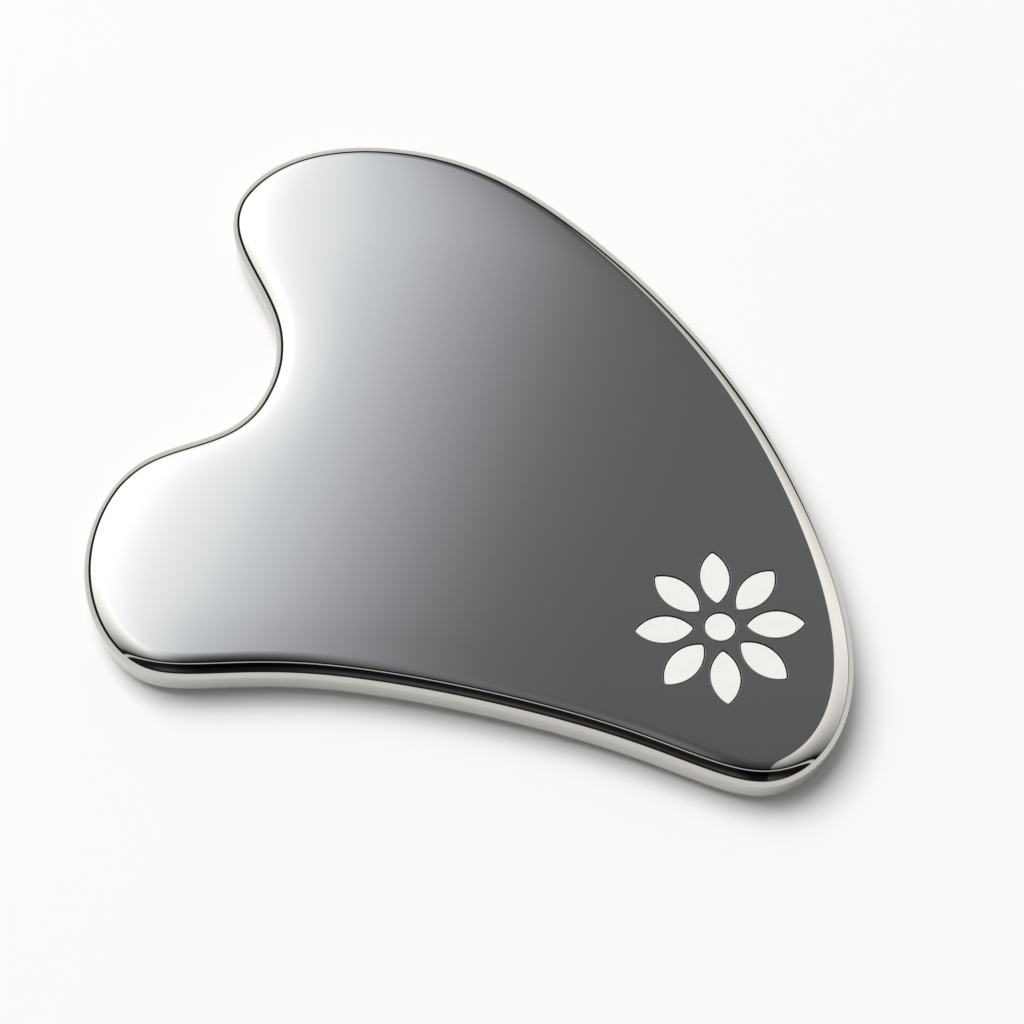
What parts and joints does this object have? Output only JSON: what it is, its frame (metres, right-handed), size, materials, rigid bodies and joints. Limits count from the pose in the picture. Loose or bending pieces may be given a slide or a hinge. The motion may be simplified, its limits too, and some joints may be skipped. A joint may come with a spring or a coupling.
{
  "type": "gua sha scraper",
  "caption": "Flat polished steel massage plate with a waved outline, rounded rim, rounded tip, notch between two lobes, and an enamel-filled rosette.",
  "frame": {"origin": "middle of the plate's box, on the surface the plate lies on", "axes": "+X along the plate's length towards the rounded tip, +Z out of the engraved face, +Y towards the long convex back"},
  "size_m": [0.0823, 0.0639, 0.005],
  "materials": {
    "polished_steel": "mirror polished stainless steel",
    "white_enamel": "satin white enamel fill"
  },
  "bodies": {
    "root": {"scraper_plate": "polished_steel", "centre_inlay": "white_enamel", "petal_inlay_1": "white_enamel", "petal_inlay_2": "white_enamel", "petal_inlay_3": "white_enamel", "petal_inlay_4": "white_enamel", "petal_inlay_5": "white_enamel", "petal_inlay_6": "white_enamel", "petal_inlay_7": "white_enamel", "petal_inlay_8": "white_enamel"}
  },
  "joints": []
}
